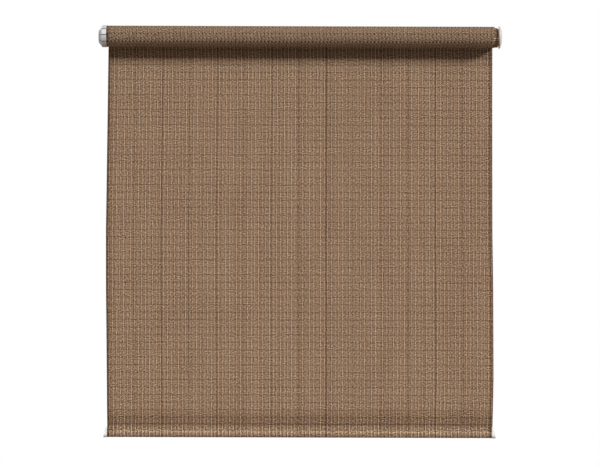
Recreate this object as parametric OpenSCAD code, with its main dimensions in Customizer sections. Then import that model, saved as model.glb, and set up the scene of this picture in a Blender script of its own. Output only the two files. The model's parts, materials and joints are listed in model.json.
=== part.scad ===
// Outdoor roller shade: a cordless, spring-assisted roller with woven cloth.
// The roller lies along X, the cloth hangs behind it along -Z, and Y points away from the viewer.
// The origin is the mouth of the socket in the drive end cap, on the roller's axis.

/* [Cloth] */
// Width of the cloth
cloth_w = 878; // [500:1:1500]
// Thickness of one layer of cloth
cloth_t = 0.65; // [0.5:0.05:1]
// How far the cords of the weave stand out of the cloth
weave_rise = 0.25; // [0.1:0.05:0.4]
// Spacing of the upright cords on the front
cord_pitch = 8.3; // [6:0.1:20]
// Width of an upright cord at its foot
cord_w = 3.4; // [2:0.1:5]
// Spacing of the crosswise cords on the back
pick_pitch = 17.2; // [10:0.1:40]
// From the roller's axis to the lower edge of the hem
drop = 912; // [600:1:1500]
// Height of the sewn hem
hem_h = 29; // [26:0.5:60]
// Height of the flat seam above the rail's pocket
seam_h = 5; // [3:0.5:8]

/* [Roll] */
// Turns of cloth left on the tube
turns = 7; // [3:1:10]
// Air between two turns
lap_air = 0.08; // [0.02:0.01:0.2]
// How far the innermost turn has crept out at the idler end
creep = 10; // [3:0.1:20]

/* [Tube] */
// Outer diameter of the roller tube
tube_d = 38; // [36:0.5:60]
// Wall of the roller tube
tube_wall = 1.2; // [0.8:0.1:2]
// Diameter of the spline rod that locks the cloth
spline_d = 3.6; // [2:0.1:4]
// Width of the channel's mouth
mouth_w = 2.2; // [1.5:0.1:3]

/* [Drive end cap] */
// Diameter of the end cap
cap_d = 50; // [48:0.5:70]
// Length of the end cap
cap_l = 18.2; // [17:0.1:30]
// Length of the bevel at its outer end
bevel_l = 8; // [4:0.5:12]
// Diameter of the flat outer face
cap_face_d = 29; // [22:0.5:40]
// Number of lengthwise grooves
groove_count = 10; // [6:1:16]
// Width of a groove
groove_w = 2.4; // [1:0.1:4]
// Depth of a groove
groove_depth = 1; // [0.4:0.1:2]
// Angle of the first groove from the top, towards the viewer
groove_turn = 15; // [0:1:36]
// Diameter of the drive socket
socket_d = 12; // [8:0.5:16]
// Depth of the drive socket
socket_depth = 11; // [6:0.5:12]
// Width of the two key slots of the socket
key_w = 2.4; // [1.5:0.1:4]
// How far the key slots reach past the socket's wall
key_depth = 1.8; // [1:0.1:2.5]

/* [Drive hub and crown] */
// Wall of the crown between the hub and the back of the tube's channel
crown_wall = 1.6; // [1:0.1:3]
// How deep the hub sits in the end cap
hub_seat = 4; // [2:0.5:4.5]
// Length of the crown inside the tube
crown_l = 28; // [20:1:50]
// Thickness of the crown's rim over the tube's end
crown_rim = 1.6; // [1:0.1:3]

/* [Spring shaft] */
// Diameter of the cross pins
pin_d = 3; // [2:0.5:4]
// How far the cross pins stop short of the hub's surface
pin_sink = 2; // [0.5:0.5:3]
// Length of the shaft past its clip
shaft_tail = 4; // [2:0.5:10]

/* [Spring] */
// Diameter of the spring's wire
wire_d = 2.4; // [1.6:0.1:3]
// Turns of the spring
coil_turns = 24; // [10:1:26]
// Spacing of the turns
coil_pitch = 6; // [4:0.5:8]
// Wall of the collar noses that the spring grips
nose_wall = 1.2; // [0.8:0.1:2.5]
// How far a collar stands proud of the spring
collar_rim = 0.5; // [0.3:0.1:1.5]
// Length of a collar's body
collar_l = 12; // [8:0.5:20]
// Turns of the spring on each nose
nose_turns = 2; // [1:0.5:4]

/* [Damper] */
// Length of the damper housing
damper_l = 34; // [24:1:60]
// Thickness of the housing's end walls
damper_wall = 4; // [2:0.5:5]
// Number of discs on the rotor
disc_count = 3; // [2:1:4]
// Thickness of one rotor disc
disc_t = 2.4; // [1.5:0.1:3]
// Space between the parts along the shaft
part_gap = 10; // [4:1:40]
// Length of the bush at the shaft's far end
end_bush_l = 14; // [8:1:30]
// Thickness of the retaining clip
clip_t = 1.2; // [0.8:0.1:2]

/* [Idler end] */
// Diameter of the idler flange
flange_d = 51.5; // [50:0.5:70]
// Thickness of the idler flange at its middle
flange_t = 7; // [4:0.1:10]
// Thickness of the idler flange at its rim
flange_rim = 2; // [1:0.1:3.5]
// Length of the plug inside the tube
plug_l = 36; // [24:1:60]
// Length of the shoulder between the tube and the flange
shoulder_l = 2.4; // [1:0.1:6]
// Number of ribs in the plug
rib_count = 5; // [3:1:8]
// Thickness of a rib and of the plug's walls
plug_wall = 2.2; // [1.5:0.1:2.4]
// Diameter of the bracket pin's bore
idler_bore_d = 8; // [5:0.5:9]
// Length of the idler bush
bush_l = 22; // [12:1:28]
// Wall of the idler bush
bush_wall = 2; // [1.2:0.1:2.5]

/* [Bottom rail] */
// Diameter of the rail
rail_d = 11; // [8:0.5:14]
// Wall of the rail
rail_wall = 1; // [0.6:0.1:1.2]
// Height of an end cap
cap_h = 25.2; // [22:0.1:30]
// Width of an end cap at its top
cap_top_w = 5; // [3:0.1:8]
// How far an end cap stands out at the bottom
cap_out = 8.4; // [4:0.1:12]
// How far an end cap stands out at the top
cap_out_top = 3; // [1.5:0.1:3.5]
// How far an end cap's plug reaches into the rail
cap_in = 14; // [8:0.5:30]
// Rim of an end cap around the rail
cap_rim = 1.6; // [1.2:0.1:3]

/* [Clearances] */
// Between a turning bore and its journal
run_clear = 0.05; // [0.02:0.01:0.1]
// Between pieces that are fixed together
seat_clear = 0.05; // [0.02:0.01:0.15]
// Between cloth and what it passes
soft_gap = 0.3; // [0.2:0.05:0.6]
// Between the standing end and the turning end
end_gap = 0.6; // [0.3:0.1:1]

/* [Hidden] */
$fn = 64;

// Every cut runs this far past the faces it opens
overrun = 1;

// Tube, channel and roll, outward from the axis
tube_r = tube_d / 2;
tube_in_r = tube_r - tube_wall;
chamber_r = spline_d / 2 + cloth_t;
chamber_at = tube_in_r - chamber_r;
boss_w = 2 * (chamber_r + tube_wall);
boss_in_r = chamber_at - chamber_r - tube_wall;
insert_r = tube_in_r - seat_clear;
lap_t = cloth_t + lap_air;
roll_bore_r = tube_r + seat_clear;
roll_r = roll_bore_r + turns * lap_t;

// Places along the roller's axis
roll_x0 = cap_l + end_gap;
roll_x1 = roll_x0 + cloth_w;
flange_x0 = roll_x1 + creep + end_gap;
flange_x1 = flange_x0 + flange_t;
tube_x0 = roll_x0 + crown_rim;
tube_x1 = flange_x0 - shoulder_l;
hub_x1 = tube_x0 + crown_l;
shaft_x0 = cap_l + hub_seat;

// Drive hub, shaft and spring
hub_r = boss_in_r - seat_clear - crown_wall - run_clear;
hub_seat_r = hub_r - hub_seat / 2;
collar_r = hub_r;
pin_r = pin_d / 2;
pin_l = 2 * (hub_r - pin_sink);
wire_r = wire_d / 2;
coil_r = collar_r - collar_rim - wire_r;
nose_r = coil_r - wire_r - soft_gap;
shaft_r = nose_r - nose_wall;
nose_l = nose_turns * coil_pitch;
coil_x0 = hub_x1 + collar_l + soft_gap + wire_r;
coil_x1 = coil_x0 + coil_turns * coil_pitch;
turning_x0 = coil_x1 + wire_r + soft_gap;
turning_x1 = turning_x0 + collar_l;
wire_sides = 6;
coil_steps = 12;

// Damper, end bush and clip
damper_x0 = turning_x1 + part_gap;
damper_x1 = damper_x0 + damper_l;
cavity_x0 = damper_x0 + damper_wall;
cavity_x1 = damper_x1 - damper_wall;
cavity_r = boss_in_r - tube_wall;
rotor_gap = 2 * soft_gap;
rotor_r = cavity_r - rotor_gap;
rotor_hub_r = (shaft_r + rotor_r) / 2;
end_bush_x0 = damper_x1 + part_gap;
end_bush_x1 = end_bush_x0 + end_bush_l;
clip_x0 = end_bush_x1 + soft_gap;
clip_seat_depth = clip_t / 2;
clip_r = shaft_r + clip_t;
clip_mouth_share = 0.6;
shaft_x1 = clip_x0 + clip_t + shaft_tail;

// Idler plug and bush
bush_r = idler_bore_d / 2 + bush_wall;
bush_rim_r = bush_r + bush_wall;
plug_hub_r = bush_r + seat_clear + plug_wall;
flange_r = flange_d / 2;
flange_face_r = bush_rim_r + bush_wall;
dome_steps = 6;
plug_x0 = tube_x1 - plug_l;
bush_x0 = flange_x1 - bush_l;

// Cloth behind the roll
cord_top_share = 0.45;
panel_front_y = roll_r + weave_rise + soft_gap;
panel_mid_y = panel_front_y + weave_rise + cloth_t / 2;
panel_z0 = hem_h - drop;
cord_count = floor((cloth_w - cord_w) / cord_pitch);
cord_margin = (cloth_w - (cord_count - 1) * cord_pitch) / 2;
pick_count = floor((-panel_z0 - cord_w) / pick_pitch);
pick_margin = (-panel_z0 - (pick_count - 1) * pick_pitch) / 2;
wound_count = floor(2 * PI * roll_r / pick_pitch);
wound_turn_share = 0.73;

// Hem and rail
rail_r = rail_d / 2;
rail_room = soft_gap + cloth_t;
rail_z = rail_r + rail_room - drop;
seam_z = panel_z0 - seam_h;
cap_low_r = rail_r + cap_rim;
flank_share = 0.9;

// A round bar along the roller's axis between two places
module bar(x0, x1, r) {
    translate([x0, 0, 0])
        rotate([0, 90, 0])
            cylinder(h = x1 - x0, r = r);
}

// A flat outline in the Y-Z plane pushed along the roller's axis
module along_axis(x0, x1) {
    translate([x0, 0, 0])
        rotate([90, 0, 90])
            linear_extrude(x1 - x0)
                children();
}

// A profile of [radius, place] points turned about the roller's axis
module turned(points) {
    rotate([0, 90, 0])
        rotate_extrude($fn = 96)
            polygon(points);
}

// A hole across the axis for a cross pin
module pin_hole(x) {
    translate([x, 0, -tube_r])
        cylinder(h = tube_d, r = pin_r + seat_clear);
}

// Outline of a round insert that fills the tube and clears the channel's back
module insert_outline() {
    difference() {
        circle(insert_r);
        translate([-boss_w / 2 - seat_clear, boss_in_r - seat_clear])
            square([boss_w + 2 * seat_clear, tube_d]);
    }
}

// Outline of the hem around its rail: round at the bottom, with flanks that draw in towards the top
module hem_outline(low_r, top_w, span) {
    circle(low_r);
    polygon([
        [-low_r * flank_share, 0],
        [low_r * flank_share, 0],
        [top_w / 2, span],
        [-top_w / 2, span]
    ]);
}

// That outline along the rail, between two places
module hem_section(x0, x1, low_r, top_w, span) {
    translate([0, panel_mid_y, rail_z])
        along_axis(x0, x1)
            hem_outline(low_r, top_w, span);
}

// A round bar on the rail's axis between two places
module rail_bar(x0, x1, r) {
    translate([0, panel_mid_y, rail_z])
        bar(x0, x1, r);
}

// Points of a row of raised cords, as [along, height] pairs
function cord_row(count, margin, pitch, foot, rise) = [
    for (i = [0 : count - 1])
        for (p = [[-foot, 0], [-foot * cord_top_share, rise], [foot * cord_top_share, rise], [foot, 0]])
            [margin + i * pitch + p[0] / 2, p[1]]
];

module drive_end_cap() {
    color("silver")
        difference() {
            turned([[0, 0], [cap_face_d / 2, 0], [cap_d / 2, bevel_l], [cap_d / 2, cap_l], [0, cap_l]]);
            for (i = [0 : groove_count - 1])
                rotate([groove_turn + i * 360 / groove_count, 0, 0])
                    translate([-overrun, -groove_w / 2, cap_d / 2 - groove_depth])
                        cube([cap_l + 2 * overrun, groove_w, cap_d]);
            bar(-overrun, socket_depth, socket_d / 2);
            for (side = [0, 180])
                rotate([side, 0, 0])
                    translate([-overrun, -key_w / 2, 0])
                        cube([socket_depth + overrun, key_w, socket_d / 2 + key_depth]);
            bar(cap_l - hub_seat, cap_l + overrun, hub_seat_r + seat_clear);
        }
}

module drive_hub() {
    color("dimgray")
        difference() {
            turned([
                [0, cap_l - hub_seat], [hub_seat_r, cap_l - hub_seat], [hub_seat_r, cap_l],
                [hub_r, cap_l], [hub_r, hub_x1], [0, hub_x1]
            ]);
            bar(shaft_x0, hub_x1 + overrun, shaft_r + seat_clear);
            pin_hole((shaft_x0 + hub_x1) / 2);
        }
}

module spring_shaft() {
    color("lightsteelblue")
        difference() {
            turned([
                [0, shaft_x0], [shaft_r, shaft_x0], [shaft_r, clip_x0],
                [shaft_r - clip_seat_depth, clip_x0], [shaft_r - clip_seat_depth, clip_x0 + clip_t],
                [shaft_r, clip_x0 + clip_t], [shaft_r, shaft_x1], [0, shaft_x1]
            ]);
            for (x = pin_places())
                pin_hole(x);
        }
}

// The cross pins hold the hub, the fixed collar and the damper's rotor on the shaft
function pin_places() = [
    (shaft_x0 + hub_x1) / 2,
    hub_x1 + collar_l / 2,
    (cavity_x0 + cavity_x1) / 2
];

module shaft_pins() {
    color("slategray")
        for (x = pin_places())
            translate([x, 0, -pin_l / 2])
                cylinder(h = pin_l, r = pin_r);
}

module fixed_spring_collar() {
    color("dimgray")
        difference() {
            turned([
                [shaft_r + seat_clear, hub_x1], [collar_r, hub_x1], [collar_r, hub_x1 + collar_l],
                [nose_r, hub_x1 + collar_l], [nose_r, hub_x1 + collar_l + nose_l],
                [shaft_r + seat_clear, hub_x1 + collar_l + nose_l]
            ]);
            pin_hole(hub_x1 + collar_l / 2);
        }
}

// One ring of points around the wire, square to its run, at a number of turns from its start
function wire_ring(turn) =
    let (
        a = 360 * turn,
        rise = coil_pitch / (2 * PI),
        long = norm([coil_r, rise])
    )
    [for (s = [0 : wire_sides - 1])
        let (
            out = wire_r * cos(360 * s / wire_sides),
            side = wire_r * sin(360 * s / wire_sides)
        )
        [
            coil_x0 + turn * coil_pitch + side * coil_r / long,
            (coil_r + out) * cos(a) + side * sin(a) * rise / long,
            (coil_r + out) * sin(a) - side * cos(a) * rise / long
        ]];

module torsion_spring() {
    rings = coil_turns * coil_steps;
    points = [for (k = [0 : rings]) each wire_ring(k / coil_steps)];
    skin = [
        for (k = [0 : rings - 1])
            for (s = [0 : wire_sides - 1])
                let (next = (s + 1) % wire_sides)
                [
                    k * wire_sides + s, (k + 1) * wire_sides + s,
                    (k + 1) * wire_sides + next, k * wire_sides + next
                ]
    ];
    first_end = [for (s = [0 : wire_sides - 1]) s];
    last_end = [for (s = [wire_sides - 1 : -1 : 0]) rings * wire_sides + s];
    color("darkslategray")
        polyhedron(points, concat(skin, [first_end], [last_end]));
}

module damper_rotor() {
    disc_pitch = (cavity_x1 - cavity_x0 - 2 * rotor_gap - disc_t) / (disc_count - 1);
    color("ivory")
        difference() {
            union() {
                bar(cavity_x0 + rotor_gap, cavity_x1 - rotor_gap, rotor_hub_r);
                for (i = [0 : disc_count - 1])
                    let (x = cavity_x0 + rotor_gap + i * disc_pitch)
                        bar(x, x + disc_t, rotor_r);
            }
            bar(cavity_x0, cavity_x1, shaft_r + seat_clear);
            pin_hole((cavity_x0 + cavity_x1) / 2);
        }
}

module retaining_clip() {
    color("black")
        difference() {
            bar(clip_x0 + seat_clear, clip_x0 + clip_t - seat_clear, clip_r);
            bar(clip_x0 - overrun, clip_x0 + clip_t + overrun, shaft_r - clip_seat_depth + seat_clear);
            translate([clip_x0 - overrun, -shaft_r * clip_mouth_share, 0])
                cube([clip_t + 2 * overrun, 2 * shaft_r * clip_mouth_share, clip_r + overrun]);
        }
}

module roller_tube() {
    color("lightgray")
        along_axis(tube_x0, tube_x1)
            difference() {
                union() {
                    difference() {
                        circle(tube_r);
                        circle(tube_in_r);
                    }
                    intersection() {
                        circle(tube_r);
                        translate([-boss_w / 2, boss_in_r])
                            square([boss_w, tube_r - boss_in_r]);
                    }
                }
                translate([0, chamber_at])
                    circle(chamber_r);
                translate([-mouth_w / 2, chamber_at])
                    square([mouth_w, tube_r]);
            }
}

module drive_crown() {
    color("whitesmoke")
        difference() {
            union() {
                bar(roll_x0, tube_x0, tube_r);
                along_axis(roll_x0, hub_x1)
                    insert_outline();
            }
            bar(roll_x0 - overrun, hub_x1 + overrun, hub_r + run_clear);
        }
}

module turning_spring_collar() {
    color("whitesmoke")
        difference() {
            union() {
                bar(turning_x0 - nose_l, turning_x1, nose_r);
                along_axis(turning_x0, turning_x1)
                    insert_outline();
            }
            bar(turning_x0 - nose_l - overrun, turning_x1 + overrun, shaft_r + run_clear);
        }
}

module damper_housing() {
    color("gray")
        difference() {
            along_axis(cavity_x0, damper_x1)
                insert_outline();
            bar(cavity_x0 - overrun, cavity_x1, cavity_r);
            bar(cavity_x0, damper_x1 + overrun, shaft_r + run_clear);
        }
}

module damper_lid() {
    color("darkgray")
        difference() {
            along_axis(damper_x0, cavity_x0)
                insert_outline();
            bar(damper_x0 - overrun, cavity_x0 + overrun, shaft_r + run_clear);
        }
}

module shaft_end_bush() {
    color("whitesmoke")
        difference() {
            along_axis(end_bush_x0, end_bush_x1)
                insert_outline();
            bar(end_bush_x0 - overrun, end_bush_x1 + overrun, shaft_r + run_clear);
        }
}

module cloth_spline() {
    color("ivory")
        translate([0, 0, chamber_at])
            bar(roll_x0 + crown_rim, roll_x1, spline_d / 2);
}

// Outline of a crosswise cord on the roll, where the cloth's back faces outward
module wound_cord() {
    foot = cord_w / 2;
    top = foot * cord_top_share;
    polygon([
        [roll_r - lap_t, -foot], [roll_r - weave_rise / 2, -foot], [roll_r + weave_rise, -top],
        [roll_r + weave_rise, top], [roll_r - weave_rise / 2, foot], [roll_r - lap_t, foot]
    ]);
}

// Each turn is a step at the roll's ends: all are as wide as the cloth, and the inner ones have crept along
module cloth_roll() {
    left_end = [
        for (i = [0 : turns - 1])
            let (x = roll_x0 + creep * (1 - i / (turns - 1)))
                each [[roll_bore_r + i * lap_t, x], [roll_bore_r + (i + 1) * lap_t, x]]
    ];
    right_end = [
        for (i = [turns - 1 : -1 : 0])
            let (x = roll_x1 + creep * (1 - i / (turns - 1)))
                each [[roll_bore_r + (i + 1) * lap_t, x], [roll_bore_r + i * lap_t, x]]
    ];
    color("saddlebrown") {
        turned(concat(left_end, right_end));
        along_axis(roll_x0 + end_gap, roll_x1 - end_gap)
            for (i = [0 : wound_count - 1])
                rotate((i + wound_turn_share) * 360 / wound_count)
                    wound_cord();
    }
}

// The flange's outer face swells from a thin rim to a flat middle around the bush
module idler_plug() {
    dome = [
        for (i = [0 : dome_steps])
            let (share = 1 - i / dome_steps)
            [
                flange_face_r + (flange_r - flange_face_r) * share,
                flange_x1 - (flange_t - flange_rim) * share * share
            ]
    ];
    color("gainsboro")
        difference() {
            union() {
                along_axis(plug_x0, flange_x0)
                    difference() {
                        insert_outline();
                        difference() {
                            circle(boss_in_r - plug_wall);
                            circle(plug_hub_r);
                            for (i = [0 : rib_count - 1])
                                rotate(i * 360 / rib_count)
                                    translate([0, -plug_wall / 2])
                                        square([tube_r, plug_wall]);
                        }
                    }
                turned(concat(
                    [[0, tube_x1], [tube_r - seat_clear, tube_x1], [tube_r - seat_clear, flange_x0]],
                    [[flange_r, flange_x0]], dome, [[0, flange_x1]]
                ));
            }
            bar(plug_x0 - overrun, flange_x1 + overrun, bush_r + seat_clear);
            bar(flange_x1 - bush_wall - seat_clear, flange_x1 + overrun, bush_rim_r + seat_clear);
        }
}

module idler_bush() {
    color("dimgray")
        difference() {
            union() {
                bar(bush_x0, flange_x1, bush_r);
                bar(flange_x1 - bush_wall, flange_x1, bush_rim_r);
            }
            bar(bush_x0 - overrun, flange_x1 + overrun, idler_bore_d / 2);
        }
}

// Upright cords stand out of the front of the cloth and crosswise cords out of its back
module shade_panel() {
    uprights = [
        for (p = cord_row(cord_count, cord_margin, cord_pitch, cord_w, weave_rise))
            [p[0], -cloth_t / 2 - p[1]]
    ];
    picks = [
        for (p = cord_row(pick_count, pick_margin, pick_pitch, cord_w, weave_rise))
            [cloth_t / 2 + p[1], p[0]]
    ];
    color("tan")
        translate([roll_x0, panel_mid_y, panel_z0]) {
            linear_extrude(-panel_z0)
                polygon(concat([[0, 0], [0, -cloth_t / 2]], uprights, [[cloth_w, -cloth_t / 2], [cloth_w, 0]]));
            along_axis(0, cloth_w)
                polygon(concat([[0, 0], [cloth_t / 2, 0]], picks, [[cloth_t / 2, -panel_z0], [0, -panel_z0]]));
        }
}

module hem_pocket() {
    span = seam_z - rail_z;
    color("peru")
        difference() {
            union() {
                hem_section(roll_x0, roll_x1, rail_r + rail_room, 2 * rail_room, span);
                translate([roll_x0, panel_mid_y - cloth_t, seam_z - cloth_t])
                    cube([cloth_w, 2 * cloth_t, seam_h + cloth_t]);
            }
            hem_section(roll_x0 - overrun, roll_x1 + overrun, rail_r + soft_gap, 2 * soft_gap, span - cloth_t);
        }
}

module bottom_rail() {
    color("silver")
        difference() {
            rail_bar(roll_x0, roll_x1, rail_r);
            rail_bar(roll_x0 - overrun, roll_x1 + overrun, rail_r - rail_wall);
        }
}

// An end cap at the right of the rail: a plug and a plate whose outer face leans in towards the top
module rail_cap() {
    span = cap_h - cap_low_r;
    lean = atan((cap_out - cap_out_top) / cap_h);
    rail_bar(roll_x1 - cap_in, roll_x1 + cap_out_top, rail_r - rail_wall - seat_clear);
    difference() {
        hem_section(roll_x1, roll_x1 + cap_out, cap_low_r, cap_top_w, span);
        translate([roll_x1 + cap_out, panel_mid_y - cap_h, rail_z - cap_low_r])
            rotate([0, -lean, 0])
                translate([0, 0, -cap_h])
                    cube([cap_h, 2 * cap_h, 3 * cap_h]);
    }
}

module rail_cap_right() {
    color("white")
        rail_cap();
}

module rail_cap_left() {
    color("white")
        translate([roll_x0 + roll_x1, 0, 0])
            mirror([1, 0, 0])
                rail_cap();
}

drive_end_cap();
drive_hub();
spring_shaft();
shaft_pins();
fixed_spring_collar();
torsion_spring();
damper_rotor();
retaining_clip();
roller_tube();
drive_crown();
turning_spring_collar();
damper_housing();
damper_lid();
shaft_end_bush();
cloth_spline();
cloth_roll();
idler_plug();
idler_bush();
shade_panel();
hem_pocket();
bottom_rail();
rail_cap_left();
rail_cap_right();
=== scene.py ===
import json
import math

import bmesh
import bpy
import numpy as np
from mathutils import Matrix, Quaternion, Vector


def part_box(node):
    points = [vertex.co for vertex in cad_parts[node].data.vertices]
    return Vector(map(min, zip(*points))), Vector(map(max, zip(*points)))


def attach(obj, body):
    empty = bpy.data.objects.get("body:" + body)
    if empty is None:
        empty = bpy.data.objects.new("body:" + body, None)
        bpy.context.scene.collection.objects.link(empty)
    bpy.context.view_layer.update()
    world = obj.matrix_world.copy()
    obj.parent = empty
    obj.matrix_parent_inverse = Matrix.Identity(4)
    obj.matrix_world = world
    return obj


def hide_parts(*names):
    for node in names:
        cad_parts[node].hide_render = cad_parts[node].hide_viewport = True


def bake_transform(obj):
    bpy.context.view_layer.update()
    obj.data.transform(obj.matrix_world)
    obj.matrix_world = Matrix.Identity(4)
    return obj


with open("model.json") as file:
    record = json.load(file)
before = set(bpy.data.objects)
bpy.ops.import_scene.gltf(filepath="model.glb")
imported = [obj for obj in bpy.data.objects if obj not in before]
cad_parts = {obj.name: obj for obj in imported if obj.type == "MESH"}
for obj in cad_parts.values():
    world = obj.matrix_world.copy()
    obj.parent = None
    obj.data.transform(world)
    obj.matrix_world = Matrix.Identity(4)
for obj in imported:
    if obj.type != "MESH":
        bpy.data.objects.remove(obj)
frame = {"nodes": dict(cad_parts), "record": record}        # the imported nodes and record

# Outdoor roller shade: woven cloth on a sprung roller. Lengths are in metres, in the frame's own axes:
# X along the roller, Y away from the viewer, Z up, with the origin at the mouth of the drive socket.

MM = 0.001
FULL_TURN = 2 * math.pi
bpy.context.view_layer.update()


def node_box(node):
    """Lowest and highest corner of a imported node, as arrays."""
    low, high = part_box(node)
    return np.array(low), np.array(high)


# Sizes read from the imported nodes
PANEL_LOW, PANEL_HIGH = node_box("shade_panel")
RAIL_LOW, RAIL_HIGH = node_box("bottom_rail")
TUBE_LOW, TUBE_HIGH = node_box("roller_tube")
_, ROLL_HIGH = node_box("cloth_roll")
CLOTH_X0 = PANEL_LOW[0]
CLOTH_X1 = PANEL_HIGH[0]
CLOTH_W = CLOTH_X1 - CLOTH_X0
PANEL_Y = (PANEL_LOW[1] + PANEL_HIGH[1]) / 2
SEAM_Z = PANEL_LOW[2]
RAIL_R = (RAIL_HIGH[2] - RAIL_LOW[2]) / 2
RAIL_Z = (RAIL_HIGH[2] + RAIL_LOW[2]) / 2
TUBE_R = (TUBE_HIGH[1] - TUBE_LOW[1]) / 2
CREEP = ROLL_HIGH[0] - CLOTH_X1

# The roll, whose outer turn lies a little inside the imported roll's highest point
ROLL_SINK = 0.1 * MM
ROLL_R = ROLL_HIGH[2] - ROLL_SINK
TURNS = 7

# The cloth. Upright cords stand out of its front, and crosswise cords, called picks, out of its back.
CLOTH_T = 0.65 * MM
CORD_PITCH = 8.274 * MM
CORD_FIRST = CLOTH_X0 + 5.97 * MM
CORD_RISE = 0.32 * MM
CORD_HALF_SHARE = 0.13
PICK_PITCH = 17.11 * MM
PICK_FIRST = -11.2 * MM
PICK_RISE = 0.25 * MM
PICK_HALF_SHARE = 0.12
WOUND_PICKS = 8
WOUND_TURN_SHARE = 0.73

# How strongly one upright cord shows after another: a swing whose step drifts
CORD_STRENGTH = 0.92
CORD_SWING = 0.08
CORD_SWING_STEP = 2.4
CORD_DRIFT = 1.7
CORD_DRIFT_STEP = 1.31


# Mesh helpers

def mesh_object(name, points, faces, material, smooth=True):
    """A mesh object from points and faces, with its normals turned outward."""
    mesh = bpy.data.meshes.new(name)
    mesh.from_pydata(np.asarray(points).tolist(), [], [list(map(int, f)) for f in faces])
    shape = bmesh.new()
    shape.from_mesh(mesh)
    bmesh.ops.recalc_face_normals(shape, faces=shape.faces)
    shape.to_mesh(mesh)
    shape.free()
    mesh.polygons.foreach_set("use_smooth", [smooth] * len(mesh.polygons))
    mesh.materials.append(material)
    piece = bpy.data.objects.new(name, mesh)
    bpy.context.scene.collection.objects.link(piece)
    return piece


def grid_quads(rows, cols, ring=False):
    """Quads of a grid of points numbered row by row. A ring joins its last row to its first."""
    steps = rows if ring else rows - 1
    r, c = np.meshgrid(np.arange(steps), np.arange(cols - 1), indexing="ij")
    a = r * cols + c
    b = ((r + 1) % rows) * cols + c
    return np.stack([a, a + 1, b + 1, b], axis=-1).reshape(-1, 4)


def strip_quads(loop, shift):
    """Quads between a closed loop of points and the same loop a number of points further on."""
    following = np.roll(loop, -1)
    return np.stack([loop, following, following + shift, loop + shift], axis=-1)


def keep_place(piece, name, places):
    """Stores each point's place on the cloth at rest, which the weave and the marks are drawn from."""
    layer = piece.data.attributes.new(name, "FLOAT", "POINT")
    layer.data.foreach_set("value", np.asarray(places, dtype=np.float32))


def shell(name, outer, inner, material, flat_x, ring=False, inner_material=None):
    """A thin closed skin between two grids of points. A ring is closed along its rows."""
    rows, cols = outer.shape[:2]
    count = rows * cols
    points = np.concatenate([outer.reshape(-1, 3), inner.reshape(-1, 3)])
    index = np.arange(count).reshape(rows, cols)
    skin = grid_quads(rows, cols, ring)
    if ring:
        loops = [index[:, 0], index[:, -1]]
    else:
        loops = [np.concatenate([index[0, :-1], index[:-1, -1], index[-1, :0:-1], index[:0:-1, 0]])]
    rims = [strip_quads(loop, count) for loop in loops]
    piece = mesh_object(name, points, np.concatenate([skin, skin + count] + rims), material)
    for face in piece.data.polygons[2 * len(skin):]:
        face.use_smooth = False
    if inner_material:
        piece.data.materials.append(inner_material)
        for face in piece.data.polygons[len(skin):2 * len(skin)]:
            face.material_index = 1
    keep_place(piece, "flat_x", np.concatenate([flat_x.ravel(), flat_x.ravel()]))
    keep_place(piece, "rest_z", points[:, 2])
    return piece


def smooth_step(value):
    """0 below 0, 1 above 1, and an easy curve between."""
    value = np.clip(value, 0, 1)
    return value * value * (3 - 2 * value)


RIPPLE_WAVES = 7
RIPPLE_TURNS = 3


def ripples(u, v, seed):
    """A smooth random field between about -1 and 1 over two coordinates in turns."""
    draw = np.random.default_rng(seed)
    total = 0
    for _ in range(RIPPLE_WAVES):
        a, b = draw.uniform(-1, 1, 2)
        total = total + np.sin(FULL_TURN * (a * u + round(RIPPLE_TURNS * b) * v + draw.uniform()))
    return total / math.sqrt(RIPPLE_WAVES)


# Heights of the weave on the cloth's two faces

def ridge(turns, half_share):
    """A rounded ridge from 0 to 1 at every whole number of turns."""
    return np.clip(1 - ((turns - np.round(turns)) / half_share) ** 2, 0, 1)


def cord_height(x):
    """How far the upright cords stand out of the front of the cloth."""
    turns = (x - CORD_FIRST) / CORD_PITCH
    number = np.round(turns)
    swing = np.sin(CORD_SWING_STEP * number + CORD_DRIFT * np.sin(CORD_DRIFT_STEP * number))
    return CORD_RISE * ridge(turns, CORD_HALF_SHARE) * (CORD_STRENGTH + CORD_SWING * swing)


def pick_height(picks):
    """How far the crosswise cords stand out of the back of the cloth, at a place in numbers of picks."""
    return PICK_RISE * ridge(picks, PICK_HALF_SHARE)


def cloth_columns():
    """Places across the cloth that show each cord's two feet and its crest."""
    count = int((CLOTH_X1 - CORD_FIRST) / CORD_PITCH)
    crest = CORD_FIRST + CORD_PITCH * np.arange(count + 1)
    foot = CORD_PITCH * CORD_HALF_SHARE
    places = np.concatenate([crest - foot, crest, crest + foot])
    inside = places[(places > CLOTH_X0 + foot / 2) & (places < CLOTH_X1 - foot / 2)]
    return np.sort(np.concatenate([inside, [CLOTH_X0, CLOTH_X1]]))


# Shader nodes

def srgb(*channels):
    """Scene-linear colour of a colour given in 0 to 255 screen values."""
    shares = [c / 255 for c in channels]
    return tuple(s / 12.92 if s <= 0.04045 else ((s + 0.055) / 1.055) ** 2.4 for s in shares)


def scaled(colour, factor):
    """A colour times a factor."""
    return tuple(factor * c for c in colour)


def shades(colour, stops):
    """Stops of a colour ramp, each a screen colour times the factor at its place."""
    base = srgb(*colour)
    return [(place, scaled(base, factor)) for place, factor in stops]


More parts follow.
